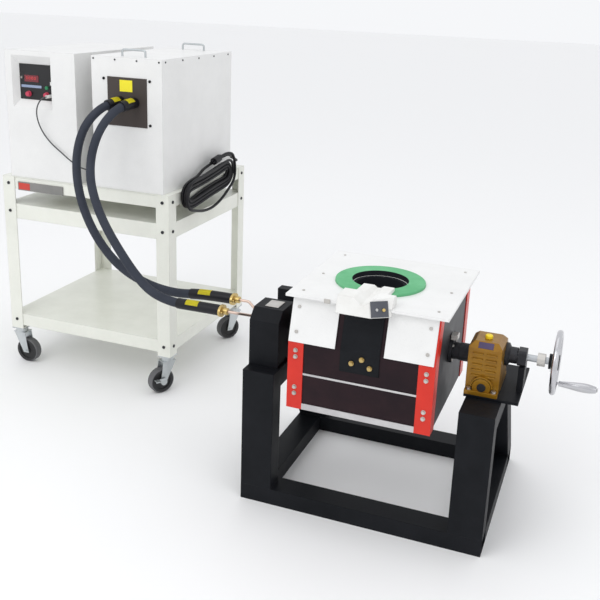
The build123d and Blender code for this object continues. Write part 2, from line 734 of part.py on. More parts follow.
# ---- leads, terminals and water tubes -----------------------------------------------------------
lead_end_x = stand_left - 145.3
terminal_x = lead_end_x + seat_gap
outer_end = (195.0, 560.0)
inner_end = (107.0, 550.0)
lead_exit_z = cart_height + lead_exit_rise
outer_exit_x = station_left + lead_exit_inset
inner_exit_x = outer_exit_x + lead_exit_spacing
lead_start_y = cabinet_front - terminal_thickness


def fit_route(points, start, end):
    """Shifts a hand-laid route so that it starts and ends at its two fittings."""
    vectors = [Vector(*point) for point in points]
    shift_start, shift_end = Vector(*start) - vectors[0], Vector(*end) - vectors[-1]
    last = len(vectors) - 3
    shares = [min(max(index - 1, 0) / last, 1.0) for index in range(len(vectors))]
    moved = [vector + shift_start * (1 - share) + shift_end * share
             for vector, share in zip(vectors, shares)]
    return [tuple(vector) for vector in moved]


outer_route = fit_route([
    (-1120, 503, 1118), (-1120, 453, 1118), (-1140, 398, 1103), (-1176, 355, 1046),
    (-1192, 326, 960), (-1178, 299, 866), (-1138, 275, 766), (-1068, 254, 668), (-975, 238, 590),
    (-862, 226, 548), (-742, 213, 537), (-625, 195, 560), (-520.3, 195, 560)],
    (outer_exit_x, lead_start_y, lead_exit_z), (lead_end_x, *outer_end))
inner_route = fit_route([
    (-1062, 503, 1118), (-1062, 450, 1118), (-1082, 394, 1098), (-1108, 346, 1040),
    (-1118, 306, 962), (-1103, 270, 882), (-1062, 238, 808), (-1004, 207, 738), (-935, 180, 670),
    (-862, 157, 604), (-790, 134, 560), (-700, 115, 545), (-612, 107, 550), (-520.3, 107, 550)],
    (inner_exit_x, lead_start_y, lead_exit_z), (lead_end_x, *inner_end))

control_plug = (cabinet_left + 193, cabinet_front - 17, cart_height + 322)
control_socket = (station_left - 6, cabinet_front + control_socket_inset, cart_height + control_socket_rise)
control_route = fit_route([
    (-1432, 489, 1112), (-1432, 470, 1112), (-1443, 459, 1096), (-1460, 465, 1068), (-1470, 478, 1034),
    (-1466, 488, 998), (-1450, 495, 964), (-1422, 498, 934), (-1384, 498, 908), (-1344, 495, 882),
    (-1306, 493, 862), (-1286, 509, 850), (-1280, 540, 846), (-1277, 574, 845), (-1268, 596, 845),
    (-1248, 596, 845)],
    control_plug, control_socket)

mains_exit = (station_right - mains_gland_inset, cabinet_back, cart_height + mains_gland_rise)
hank_x = cart_right + seat_gap
hank_middle = ((cart_front + cart_back) / 2 - 15, cart_height - 5)


def make_coil_and_terminals():
    coil_radius = crucible_radius + lining_wall + coil_tube_radius + seat_gap
    coil_reach = coil_radius + coil_tube_radius
    turns = [Pos(pot_x, pot_y, shaft_z + (turn - 1) * coil_pitch)
             * Torus(coil_radius, coil_tube_radius) for turn in range(coil_turns)]
    flanges = []
    for y, z in (outer_end, inner_end):
        oval = Plane.YZ.offset(terminal_x) * Pos(y, z) * Ellipse(26, 19)
        flange = extrude(oval, 8) + rod_x(terminal_x, terminal_x + 25, y, z, 11)
        for side in (-1, 1):
            flange += rod_x(terminal_x + 8, terminal_x + 14, y + side * 18, z, 4)
        flanges.append(flange)
    write("lead_terminals", *flanges)

    tubes = []
    for (y, z), side in ((outer_end, 1), (inner_end, -1)):
        start = terminal_x + 25
        inner_y = shaft_depth + side * water_tube_spread
        inside_end = pot_x - math.sqrt(coil_reach**2 - (inner_y - pot_y)**2) - seat_gap
        vectors = [Vector(start, y, z), Vector(start + 32, y, z), Vector(start + 78, inner_y, shaft_z),
                   Vector(inside_end, inner_y, shaft_z)]
        path = FilletPolyline(*vectors, radius=16)
        section = Plane(origin=vectors[0], z_dir=(1, 0, 0)) * Circle(water_tube_radius)
        tubes.append(sweep(section, path=path))
    write("induction_coil", *turns, *tubes)


def make_leads():
    write("power_lead_outer", tube_along(outer_route, lead_radius))
    write("power_lead_inner", tube_along(inner_route, lead_radius))
    sleeves = []
    for x in (outer_exit_x, inner_exit_x):
        gland = rod_y(x, lead_start_y - 22, lead_start_y, lead_exit_z, lead_radius + 6)
        sleeves.append(gland - rod_y(x, lead_start_y - 22, lead_start_y, lead_exit_z, lead_radius + seat_gap))
    for y, z in (outer_end, inner_end):
        sleeve = rod_x(lead_end_x - 46, lead_end_x, y, z, lead_radius + 3)
        sleeves.append(sleeve - rod_x(lead_end_x - 46, lead_end_x, y, z, lead_radius + seat_gap))
    write("lead_sleeves", *sleeves)
    write("control_lead", tube_along(control_route, control_radius))


def make_mains():
    exit_x, exit_y, exit_z = mains_exit
    y_middle, z_middle = hank_middle
    x_middle = hank_x + hank_thickness / 2
    tilt = math.radians(hank_tilt)
    straight = hank_length / 2
    end_y = y_middle + straight * math.cos(tilt) + 0.5
    end_z = z_middle + straight * math.sin(tilt)
    route = [(exit_x, exit_y, exit_z), (exit_x, exit_y + 44, exit_z), (exit_x + 22, exit_y + 84, exit_z - 6),
             (exit_x + 62, exit_y + 94, exit_z - 12), (x_middle - 8, exit_y + 62, exit_z - 16),
             (x_middle, exit_y + 22, exit_z - 19), (x_middle, end_y, end_z)]
    write("mains_lead", tube_along(route, mains_radius))

    outline = Plane.YZ.offset(hank_x) * Pos(y_middle, z_middle) * Rot(0, 0, hank_tilt) * SlotOverall(
        hank_length, hank_height)
    write("mains_hank", extrude(outline, hank_thickness))

    lift = hank_height / 2 + 14 + seat_gap
    y = y_middle + 44 * math.cos(tilt) - lift * math.sin(tilt)
    z = z_middle + 44 * math.sin(tilt) + lift * math.cos(tilt)
    body = Cylinder(14, 50) + Pos(0, 0, -32) * Cylinder(9, 16)
    for dx, dy in ((-7, 0), (7, 0), (0, 7)):
        body += Pos(dx, dy, 33) * Cylinder(2.4, 20)
    write("mains_plug", Pos(x_middle, y, z) * Rot(hank_tilt + 90, 0, 0) * body)


# ---- cart and casters ---------------------------------------------------------------------------
def make_cart():
    sheet = cart_sheet
    deck_bottom = cart_height - sheet
    pieces = []
    for side_x, x_face in ((1, cart_left), (-1, cart_right)):
        for side_y, y_face in ((1, cart_front), (-1, cart_back)):
            flange_x = block(x_face, x_face + side_x * leg_flange, y_face, y_face + side_y * sheet,
                             leg_bottom, deck_bottom)
            flange_y = block(x_face, x_face + side_x * sheet, y_face, y_face + side_y * leg_flange,
                             leg_bottom, deck_bottom)
            foot = block(x_face, x_face + side_x * leg_flange, y_face, y_face + side_y * leg_flange,
                         leg_bottom, leg_bottom + sheet)
            pieces.append(flange_x + flange_y + foot)
            for z in (bottom_shelf_top - 25, middle_shelf_top - 30, deck_bottom - 25):
                bolt_x, bolt_y = x_face + side_x * leg_flange / 2, y_face + side_y * leg_flange / 2
                pieces.append(rod_y(bolt_x, min(y_face, y_face - side_y * 3),
                                    max(y_face, y_face - side_y * 3), z, 6))
                pieces.append(rod_x(min(x_face, x_face - side_x * 3), max(x_face, x_face - side_x * 3),
                                    bolt_y, z, 6))
    pieces.append(block(cart_left, cart_right, cart_front, cart_back, deck_bottom, cart_height))
    rail_bottom = cart_height - rail_drop
    for y0 in (cart_front + sheet, cart_back - 2 * sheet):
        pieces.append(block(cart_left + sheet, cart_right - sheet, y0, y0 + sheet, rail_bottom, deck_bottom))
    for x0 in (cart_left + sheet, cart_right - 2 * sheet):
        pieces.append(block(x0, x0 + sheet, cart_front + 2 * sheet, cart_back - 2 * sheet, rail_bottom,
                            deck_bottom))
    write("cart_frame", *pieces)

    shelves = []
    for top, skirt in ((middle_shelf_top, middle_skirt), (bottom_shelf_top, bottom_skirt)):
        x0, x1 = cart_left + sheet, cart_right - sheet
        y0, y1 = cart_front + sheet, cart_back - sheet
        pan = block(x0, x1, y0, y1, top - skirt, top)
        pan -= block(x0 + sheet, x1 - sheet, y0 + sheet, y1 - sheet, top - skirt, top - sheet)
        shelves.append(pan)
    write("cart_shelves", *shelves)


def make_casters():
    inset = leg_flange / 2
    corners = {"front_left": (cart_left + inset, cart_front + inset),
               "front_right": (cart_right - inset, cart_front + inset),
               "rear_right": (cart_right - inset, cart_back - inset),
               "rear_left": (cart_left + inset, cart_back - inset)}
    race_top, race_bottom = leg_bottom - 5, leg_bottom - 20
    mounts = []
    for corner, (x, y) in corners.items():
        pin_bottom = race_bottom - fork_sheet - 6
        mount = block(x - inset, x + inset, y - inset, y + inset, race_top, leg_bottom)
        mount += rod_z(x, y, pin_bottom, race_top, kingpin_radius)
        mount += rod_z(x, y, pin_bottom - 3, pin_bottom, kingpin_radius + 3)
        mounts.append(mount)

        place = Pos(x, y, 0) * Rot(0, 0, caster_angles[corner])
        half = wheel_tread / 2 + 2.5
        race = rod_z(0, 0, race_bottom, race_top - seat_gap, 24)
        deck = block(-26, 30, -half - fork_sheet, half + fork_sheet, race_bottom - fork_sheet, race_bottom)
        fork = race + deck
        for side in (-1, 1):
            y0, y1 = sorted((side * half, side * (half + fork_sheet)))
            cheek = extrude(make_face(Plane.XZ.offset(-y1) * Polyline(
                (-24, race_bottom), (28, race_bottom), (caster_trail + 12, wheel_size - 8),
                (caster_trail - 12, wheel_size - 8), close=True)), y1 - y0, dir=(0, -1, 0))
            fork += cheek
        fork -= rod_z(0, 0, race_bottom - fork_sheet - 1, race_top, kingpin_radius + running_gap)
        axle = rod_y(caster_trail, -half - fork_sheet - 4, half + fork_sheet + 4, wheel_size, axle_radius)
        write(f"caster_fork_{corner}", place * (fork + axle))

        wheel = rod_y(caster_trail, -wheel_tread / 2, wheel_tread / 2, wheel_size, wheel_size)
        wheel = fillet(wheel.edges(), 5)
        for side in (-1, 1):
            y0, y1 = sorted((side * (wheel_tread / 2 - 4), side * (wheel_tread / 2 + 1)))
            dish = rod_y(caster_trail, y0, y1, wheel_size, wheel_size * 0.68)
            wheel -= dish - rod_y(caster_trail, y0, y1, wheel_size, 14)
        wheel -= rod_y(caster_trail, -wheel_tread, wheel_tread, wheel_size, axle_radius + running_gap)
        write(f"caster_wheel_{corner}", place * wheel)
    write("caster_mounts", *mounts)

    pedal_place = Pos(*corners["front_right"], 0) * Rot(0, 0, caster_angles["front_right"])
    half = wheel_tread / 2 + 2.5 + fork_sheet + 4.5
    lever = block(caster_trail - 9, caster_trail + 34, half, half + 3, wheel_size + 2, wheel_size + 16)
    tread = block(caster_trail + 22, caster_trail + 40, half - 2, half + 22, wheel_size + 13, wheel_size + 16)
    ring = rod_y(caster_trail, half, half + 3, wheel_size, 13)
    write("brake_pedal", pedal_place * (ring + lever + tread))


# ---- cabinets and controls ----------------------------------------------------------------------
panel_x0 = cabinet_left + 47
panel_x1 = cabinet_left + 204
panel_z0 = cart_height + 302
panel_z1 = cart_height + 434
recess_x0 = cabinet_left + 29
recess_x1 = panel_x1 + 1
recess_z0 = cart_height + 271
recess_z1 = cart_height + 466
panel_thickness = 2.0
panel_y = cabinet_front + recess_depth - panel_thickness
knob_radius = 9.0
button_radius = 7.0


def recess_shape(grow, depth):
    """The sloping hollow that holds the control panel."""
    def opening(x0, x1, z0, z1, y):
        middle = Pos((x0 + x1) / 2, (z0 + z1) / 2)
        return Plane.XZ.offset(-y) * middle * Rectangle(x1 - x0 + 2 * grow, z1 - z0 + 2 * grow)
    mouth = opening(recess_x0, recess_x1, recess_z0, recess_z1, cabinet_front)
    floor = opening(panel_x0, panel_x1, panel_z0, panel_z1, cabinet_front + depth)
    return loft([mouth, floor])


def shell(x0, x1):
    """A closed sheet-metal case."""
    t = cabinet_sheet
    outer = block(x0, x1, cabinet_front, cabinet_back, cart_height, cabinet_top)
    return outer - block(x0 + t, x1 - t, cabinet_front + t, cabinet_back - t, cart_height + t, cabinet_top - t)


def make_cabinets():
    case = shell(cabinet_left, cabinet_right)
    case += recess_shape(cabinet_sheet, recess_depth + cabinet_sheet)
    write("generator_cabinet", case - recess_shape(0, recess_depth))

    station = shell(station_left, station_right)
    for x in (outer_exit_x, inner_exit_x):
        station -= rod_y(x, cabinet_front, cabinet_front + cabinet_sheet, lead_exit_z, lead_radius)
    gland_x, gland_y, gland_z = mains_exit
    gland_end = gland_y + mains_gland_length
    gland = rod_y(gland_x, gland_y, gland_end, gland_z, mains_radius + 6)
    gland -= rod_y(gland_x, gland_y, gland_end, gland_z, mains_radius + seat_gap)
    socket_x, socket_y, socket_z = control_socket
    socket = rod_x(socket_x, station_left, socket_y, socket_z, control_plug_radius)
    write("heat_station_cabinet", station, gland, socket)

    middle = (station_left + station_right) / 2
    handles = []
    for y in (cabinet_front + handle_inset, cabinet_back - handle_inset):
        x0, x1 = middle - handle_width / 2, middle + handle_width / 2
        high = cabinet_top + handle_height - handle_radius
        path = FilletPolyline((x0, y, cabinet_top), (x0, y, high), (x1, y, high), (x1, y, cabinet_top),
                              radius=9)
        section = Pos(x0, y, cabinet_top) * Circle(handle_radius)
        handles.append(sweep(section, path=path))
    write("cabinet_handles", *handles)

    plate_x0 = station_left + terminal_inset_left
    plate_x1 = plate_x0 + terminal_width
    plate_z0 = cart_height + terminal_rise
    plate_z1 = plate_z0 + terminal_height
    plate = block(plate_x0, plate_x1, lead_start_y, cabinet_front, plate_z0, plate_z1)
    for x in (outer_exit_x, inner_exit_x):
        plate -= rod_y(x, lead_start_y, cabinet_front, lead_exit_z, lead_radius)
    screws = [rod_y(x, lead_start_y, cabinet_front, z, terminal_screw_radius)
              for x in (plate_x0 - 16, plate_x1 + 12) for z in (plate_z0 + 10, plate_z1 - 8)]
    write("terminal_plate", plate, *screws)

    floor = cart_height + cabinet_sheet
    transformer_front = cabinet_front + transformer_ahead
    pieces = [block(station_left + inside_room, station_right - inside_room, transformer_front,
                    transformer_front + transformer_depth, floor, floor + transformer_height)]
    capacitor_y = cabinet_back - inside_room - capacitor_radius
    first_x = station_left + inside_room
    capacitor_pitch = (station_width - 2 * inside_room) / (capacitor_count - 1)
    for step in range(capacitor_count):
        x = first_x + step * capacitor_pitch
        pieces.append(rod_z(x, capacitor_y, floor, floor + capacitor_height, capacitor_radius))
    pieces.append(block(cabinet_left + inside_room, cabinet_right - inside_room,
                        cabinet_front + inverter_ahead, cabinet_back - inverter_behind,
                        floor, floor + inverter_height))
    write("power_electronics", *pieces)


def make_controls():
    knob_z = cart_height + 323
    knob_places = {"knob_left": panel_x0 + 40, "knob_right": panel_x0 + 121}
    button_x, button_z = panel_x0 + 123, cart_height + 350
    panel = block(panel_x0, panel_x1, panel_y, panel_y + panel_thickness, panel_z0, panel_z1)
    panel -= rod_y(button_x, panel_y, panel_y + panel_thickness, button_z, button_radius + seat_gap)
    plug_x, plug_front, plug_z = control_plug
    plug = rod_y(plug_x, plug_front, panel_y, plug_z, control_plug_radius)
    write("control_panel", panel, plug)

    window_x = panel_x0 + 22
    window = block(window_x, window_x + 64, panel_y - 1.5, panel_y, cart_height + 368, cart_height + 393)
    write("display_window", window)

    for name, x in knob_places.items():
        skirt = rod_y(x, panel_y - 3, panel_y - seat_gap, knob_z, knob_radius + 2)
        cap = rod_y(x, panel_y - 14, panel_y - 3, knob_z, knob_radius)
        write(name, skirt + chamfer(cap.edges().group_by(Axis.Y)[0], 1.5))

    button = rod_y(button_x, panel_y - 7, panel_y - seat_gap, button_z, button_radius)
    write("start_button", fillet(button.edges().group_by(Axis.Y)[0], 1.5))


# ---- build --------------------------------------------------------------------------------------
os.makedirs("parts", exist_ok=True)
make_stand()
make_left_bearing()
make_gearbox()
make_handwheel()
make_frame_angles()
make_panels()
make_top()
make_covers(make_spout())
make_hearth()
make_screws(make_trunnions())
make_coil_and_terminals()
make_leads()
make_mains()
make_cart()
make_casters()
make_cabinets()
make_controls()
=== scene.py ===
import json
import math

import bmesh
import bpy
from mathutils import Matrix, Vector


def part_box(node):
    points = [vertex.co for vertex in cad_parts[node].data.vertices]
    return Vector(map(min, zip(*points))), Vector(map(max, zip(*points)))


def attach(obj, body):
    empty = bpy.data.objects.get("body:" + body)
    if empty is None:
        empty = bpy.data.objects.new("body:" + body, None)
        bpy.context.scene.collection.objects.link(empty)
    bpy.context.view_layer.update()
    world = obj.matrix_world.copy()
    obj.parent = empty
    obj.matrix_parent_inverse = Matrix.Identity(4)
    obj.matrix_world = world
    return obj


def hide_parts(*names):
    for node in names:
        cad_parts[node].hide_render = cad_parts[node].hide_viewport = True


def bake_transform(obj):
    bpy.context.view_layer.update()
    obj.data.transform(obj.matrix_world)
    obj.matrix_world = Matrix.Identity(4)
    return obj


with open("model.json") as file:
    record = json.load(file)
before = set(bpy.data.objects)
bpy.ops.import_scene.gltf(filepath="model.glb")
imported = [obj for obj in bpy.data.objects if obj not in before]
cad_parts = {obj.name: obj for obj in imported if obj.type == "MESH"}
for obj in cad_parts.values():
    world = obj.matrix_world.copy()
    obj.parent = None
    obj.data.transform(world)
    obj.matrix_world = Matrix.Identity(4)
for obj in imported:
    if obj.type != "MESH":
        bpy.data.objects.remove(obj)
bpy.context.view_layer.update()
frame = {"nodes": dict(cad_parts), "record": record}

scene = bpy.context.scene
shown = frame["nodes"]
print("frame loaded:", len(shown), "nodes")

# ---- camera -------------------------------------------------------------------------------------
view = {"place": (0.6047, -2.2162, 1.5372), "turn": 20.43, "lean": 73.16, "roll": 2.106,
        "lens": 52.11, "shiftY": -0.0835}
cameraData = bpy.data.cameras.new("camera")
cameraData.lens = view["lens"]
cameraData.sensor_width = 36
cameraData.shift_y = view["shiftY"]
camera = bpy.data.objects.new("camera", cameraData)
scene.collection.objects.link(camera)
camera.matrix_world = (Matrix.Translation(view["place"])
                       @ Matrix.Rotation(math.radians(view["turn"]), 4, "Z")
                       @ Matrix.Rotation(math.radians(view["lean"]), 4, "X")
                       @ Matrix.Rotation(math.radians(view["roll"]), 4, "Z"))
scene.camera = camera
scene.view_settings.view_transform = "Standard"


# ---- materials ----------------------------------------------------------------------------------
def addNode(tree, kind, **values):
    node = tree.nodes.new(kind)
    for name, value in values.items():
        if hasattr(node, name):
            setattr(node, name, value)
        else:
            node.inputs[name].default_value = value
    return node


# look: colour and second colour, rough and its spread, metal, the grain's size per metre and stretch,
# bump height, edge rounding in metres, coat
def makeFinish(name, look):
    material = bpy.data.materials.new(name)
    material.use_nodes = True
    tree = material.node_tree
    shader = tree.nodes["Principled BSDF"]
    link = tree.links.new
    place = addNode(tree, "ShaderNodeTexCoord")
    stretch = addNode(tree, "ShaderNodeMapping")
    stretch.inputs["Scale"].default_value = look.get("stretch", (1, 1, 1))
    link(place.outputs["Object"], stretch.inputs["Vector"])

    broad = addNode(tree, "ShaderNodeTexNoise", Scale=9.0, Detail=6.0, Roughness=0.6)
    link(place.outputs["Object"], broad.inputs["Vector"])
    fine = addNode(tree, "ShaderNodeTexNoise", Scale=look.get("grain", 220.0), Detail=4.0, Roughness=0.55)
    link(stretch.outputs["Vector"], fine.inputs["Vector"])

    first, second = look["colour"], look.get("second", [c * 0.86 for c in look["colour"]])
    tint = addNode(tree, "ShaderNodeMix", data_type="RGBA")
    tint.inputs["A"].default_value = (*first, 1)
    tint.inputs["B"].default_value = (*second, 1)
    spread = addNode(tree, "ShaderNodeMapRange")
    spread.inputs["From Min"].default_value = 0.38
    spread.inputs["From Max"].default_value = 0.72
    link(broad.outputs["Fac"], spread.inputs["Value"])
    link(spread.outputs["Result"], tint.inputs["Factor"])

    speck = addNode(tree, "ShaderNodeMix", data_type="RGBA", blend_type="MULTIPLY")
    speck.inputs["B"].default_value = (0.7, 0.7, 0.7, 1)
    speckRange = addNode(tree, "ShaderNodeMapRange")
    speckRange.inputs["From Min"].default_value = 0.55
    speckRange.inputs["From Max"].default_value = 0.75
    speckRange.inputs["To Max"].default_value = look.get("speck", 0.15)
    link(fine.outputs["Fac"], speckRange.inputs["Value"])
    link(speckRange.outputs["Result"], speck.inputs["Factor"])
    link(tint.outputs["Result"], speck.inputs["A"])
    link(speck.outputs["Result"], shader.inputs["Base Color"])

    rough = addNode(tree, "ShaderNodeMapRange")
    rough.inputs["From Min"].default_value = 0.3
    rough.inputs["From Max"].default_value = 0.7
    rough.inputs["To Min"].default_value = look["rough"]
    rough.inputs["To Max"].default_value = min(1.0, look["rough"] + 0.12)
    link(broad.outputs["Fac"], rough.inputs["Value"])
    link(rough.outputs["Result"], shader.inputs["Roughness"])
    shader.inputs["Metallic"].default_value = look.get("metal", 0.0)
    shader.inputs["Specular IOR Level"].default_value = look.get("shine", 0.5)
    shader.inputs["Coat Weight"].default_value = look.get("coat", 0.0)
    shader.inputs["Coat Roughness"].default_value = 0.12

    bump = addNode(tree, "ShaderNodeBump", Strength=look.get("bump", 0.15), Distance=0.0006)
    link(fine.outputs["Fac"], bump.inputs["Height"])
    if look.get("round", 0.0012):
        edge = addNode(tree, "ShaderNodeBevel", samples=4, Radius=look.get("round", 0.0012))
        link(edge.outputs["Normal"], bump.inputs["Normal"])
    link(bump.outputs["Normal"], shader.inputs["Normal"])
    return material


looks = {
    "black_steel": {"colour": (0.006, 0.007, 0.009), "second": (0.011, 0.012, 0.015), "rough": 0.42,
                    "shine": 0.12, "grain": 160, "bump": 0.22, "coat": 0.0, "round": 0.004, "speck": 0.3},
    "cart_paint": {"colour": (0.80, 0.81, 0.74), "second": (0.75, 0.76, 0.69), "rough": 0.36,
                   "grain": 260, "bump": 0.1, "coat": 0.3, "round": 0.003},
    "cabinet_paint": {"colour": (0.80, 0.80, 0.79), "second": (0.76, 0.76, 0.75), "rough": 0.44,
                      "grain": 420, "bump": 0.16, "coat": 0.15, "round": 0.003},
    "red_paint": {"colour": (0.66, 0.024, 0.010), "second": (0.58, 0.018, 0.008), "rough": 0.34, "shine": 0.35,
                  "grain": 180, "bump": 0.14, "coat": 0.12, "round": 0.0015},
    "grey_panel": {"colour": (0.028, 0.029, 0.034), "second": (0.044, 0.044, 0.05), "rough": 0.42,
                   "shine": 0.35, "grain": 240, "bump": 0.12},
    "white_panel": {"colour": (0.83, 0.83, 0.82), "second": (0.79, 0.79, 0.78), "rough": 0.34,
                    "grain": 200, "bump": 0.07, "coat": 0.3},
    "bakelite": {"colour": (0.013, 0.006, 0.009), "second": (0.024, 0.010, 0.013), "rough": 0.3, "shine": 0.15,
                 "grain": 300, "stretch": (0.15, 1, 1), "bump": 0.08, "coat": 0.02},
    "aluminium_bar": {"colour": (0.62, 0.61, 0.61), "second": (0.5, 0.49, 0.5), "rough": 0.3, "metal": 0.85,
                      "grain": 900, "stretch": (0.03, 1, 1), "bump": 0.3},
    "refractory_white": {"colour": (0.84, 0.84, 0.82), "second": (0.74, 0.73, 0.7), "rough": 0.85,
                         "grain": 320, "bump": 0.55, "speck": 0.25, "round": 0.003},
    "refractory_green": {"colour": (0.13, 0.43, 0.21), "second": (0.21, 0.55, 0.30), "rough": 0.8, "shine": 0.2,
                         "grain": 260, "bump": 0.5, "speck": 0.3, "round": 0.002},
    "graphite": {"colour": (0.008, 0.009, 0.014), "second": (0.016, 0.017, 0.022), "rough": 0.75, "shine": 0.25,
                 "grain": 300, "bump": 0.5},
    "copper_tube": {"colour": (0.66, 0.50, 0.42), "second": (0.56, 0.46, 0.40), "rough": 0.28, "metal": 0.95,
                    "grain": 500, "bump": 0.1, "round": 0},
    "brass_fitting": {"colour": (0.62, 0.46, 0.17), "second": (0.48, 0.35, 0.15), "rough": 0.3, "metal": 0.9,
                      "grain": 600, "bump": 0.15, "round": 0.0008},
    "steel_bolt": {"colour": (0.62, 0.60, 0.57), "second": (0.45, 0.43, 0.4), "rough": 0.32, "metal": 0.9,
                   "grain": 700, "bump": 0.15, "round": 0.001},
    "bearing_steel": {"colour": (0.50, 0.52, 0.54), "second": (0.38, 0.39, 0.41), "rough": 0.3, "metal": 0.9,
                      "grain": 500, "bump": 0.15},
    "bronze_paint": {"colour": (0.34, 0.17, 0.006), "second": (0.24, 0.11, 0.004), "rough": 0.34, "shine": 0.4,
                     "metal": 0.45, "grain": 240, "bump": 0.35, "coat": 0.25, "round": 0.003, "speck": 0.4},
    "dark_iron": {"colour": (0.022, 0.023, 0.028), "second": (0.045, 0.045, 0.05), "rough": 0.42, "metal": 0.5,
                  "grain": 300, "bump": 0.3, "round": 0.002},
    "chrome_rim": {"colour": (0.60, 0.60, 0.62), "second": (0.50, 0.50, 0.52), "rough": 0.16, "metal": 1.0,
                   "grain": 500, "bump": 0.05, "round": 0.001},
    "yellow_cap": {"colour": (0.92, 0.70, 0.02), "second": (0.86, 0.62, 0.02), "rough": 0.35, "grain": 300,
                   "bump": 0.08},
    "zinc_plate": {"colour": (0.58, 0.61, 0.62), "second": (0.43, 0.46, 0.47), "rough": 0.3, "metal": 0.85,
                   "grain": 400, "bump": 0.15},
    "wheel_rubber": {"colour": (0.010, 0.010, 0.011), "second": (0.022, 0.022, 0.024), "rough": 0.5,
                     "grain": 300, "bump": 0.25},
    "panel_black": {"colour": (0.006, 0.006, 0.007), "second": (0.012, 0.012, 0.014), "rough": 0.3,
                    "grain": 500, "bump": 0.04},
    "red_window": {"colour": (0.14, 0.008, 0.016), "second": (0.18, 0.012, 0.02), "rough": 0.18,
                   "grain": 500, "bump": 0.02, "coat": 0.5},
    "knob_plastic": {"colour": (0.55, 0.05, 0.10), "second": (0.46, 0.04, 0.08), "rough": 0.3,
                     "grain": 400, "bump": 0.06},
    "button_green": {"colour": (0.02, 0.22, 0.09), "second": (0.02, 0.17, 0.07), "rough": 0.3,
                     "grain": 400, "bump": 0.06},
    "lead_hose": {"colour": (0.024, 0.029, 0.043), "second": (0.040, 0.046, 0.064), "rough": 0.62, "shine": 0.3,
                  "grain": 520, "bump": 0.7, "speck": 0.5, "round": 0},
    "sleeve_black": {"colour": (0.005, 0.005, 0.008), "second": (0.010, 0.010, 0.014), "rough": 0.36,
                     "shine": 0.3, "grain": 200, "bump": 0.12, "round": 0},
    "cable_black": {"colour": (0.004, 0.004, 0.006), "second": (0.008, 0.008, 0.011), "rough": 0.42,
                    "shine": 0.3, "grain": 300, "bump": 0.1, "round": 0},
    "cable_grey": {"colour": (0.06, 0.06, 0.066), "second": (0.09, 0.09, 0.095), "rough": 0.45,
                   "grain": 300, "bump": 0.1, "round": 0},
    "insulating_plate": {"colour": (0.040, 0.030, 0.026), "second": (0.055, 0.042, 0.036), "rough": 0.5,
                         "grain": 380, "bump": 0.25},
    "electronics": {"colour": (0.25, 0.26, 0.28), "rough": 0.5, "metal": 0.6, "grain": 200, "bump": 0.2},
    "label_yellow": {"colour": (0.90, 0.80, 0.02), "second": (0.84, 0.73, 0.02), "rough": 0.42,
                     "grain": 300, "bump": 0.05, "round": 0},
    "blank_purple": {"colour": (0.05, 0.03, 0.10), "second": (0.07, 0.05, 0.12), "rough": 0.3, "grain": 300,
                     "bump": 0.05},
    "clamp_slate": {"colour": (0.07, 0.075, 0.09), "second": (0.11, 0.115, 0.13), "rough": 0.4, "metal": 0.4,
                    "grain": 400, "bump": 0.2, "round": 0.0006},
    "key_blue": {"colour": (0.30, 0.36, 0.50), "second": (0.24, 0.30, 0.44), "rough": 0.35,
                 "grain": 300, "bump": 0.05, "round": 0.0006},
    "plug_white": {"colour": (0.75, 0.75, 0.73), "rough": 0.35, "grain": 300, "bump": 0.05},
    "badge_red": {"colour": (0.62, 0.05, 0.03), "second": (0.5, 0.05, 0.04), "rough": 0.35, "grain": 300,
                  "bump": 0.05},
    "tread_grey": {"colour": (0.10, 0.10, 0.105), "second": (0.15, 0.15, 0.155), "rough": 0.6, "grain": 350,
                   "bump": 0.3},
    "badge_grey": {"colour": (0.20, 0.20, 0.19), "second": (0.26, 0.25, 0.24), "rough": 0.4, "grain": 300,
                   "bump": 0.05},
    "digit_red": {"colour": (0.75, 0.05, 0.05), "second": (0.7, 0.05, 0.05), "rough": 0.3, "grain": 300,
                  "bump": 0.02, "round": 0},
}
finishes = {name: makeFinish(name, look) for name, look in looks.items()}
slotOf = {part["node"]: part["material_slot"] for part in frame["record"]["subparts"]}
for nodeName, nodeObject in shown.items():
    nodeObject.data.materials.clear()
    nodeObject.data.materials.append(finishes[slotOf[nodeName]])
print("finishes made:", len(finishes))


# ---- helpers for new pieces ---------------------------------------------------------------------
def placePiece(name, mesh, finish, body):
    piece = bpy.data.objects.new(name, mesh)
    scene.collection.objects.link(piece)
    if not mesh.materials:
        mesh.materials.append(finishes[finish])
    if body:
        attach(piece, body)
    return piece


def meshFrom(bm, name, smooth=False):
    bmesh.ops.recalc_face_normals(bm, faces=bm.faces)
    mesh = bpy.data.meshes.new(name)
    for face in bm.faces:
        face.smooth = smooth
    bm.to_mesh(mesh)
    bm.free()
    return mesh


def roundedBox(low, high, radius, segments=3):
    bm = bmesh.new()
    middle = [(a + b) / 2 for a, b in zip(low, high)]
    size = [b - a for a, b in zip(low, high)]
    bmesh.ops.create_cube(bm, size=1, matrix=Matrix.Translation(middle) @ Matrix.Diagonal((*size, 1)))
    bmesh.ops.bevel(bm, geom=bm.edges, offset=radius, segments=segments, affect="EDGES", profile=0.5,
                    material=-1)
    return bm


def routeCurve(name, points, thick=0.0, sides=8, resolution=12):
    data = bpy.data.curves.new(name, "CURVE")
    data.dimensions = "3D"
    data.resolution_u = resolution
    spline = data.splines.new("NURBS")
    spline.points.add(len(points) - 1)
    for spot, point in zip(spline.points, points):
        spot.co = (*point, 1)
    spline.order_u = 3
    spline.use_endpoint_u = True
    if thick:
        data.bevel_depth = thick
        data.bevel_resolution = sides
        data.use_fill_caps = True
    return data


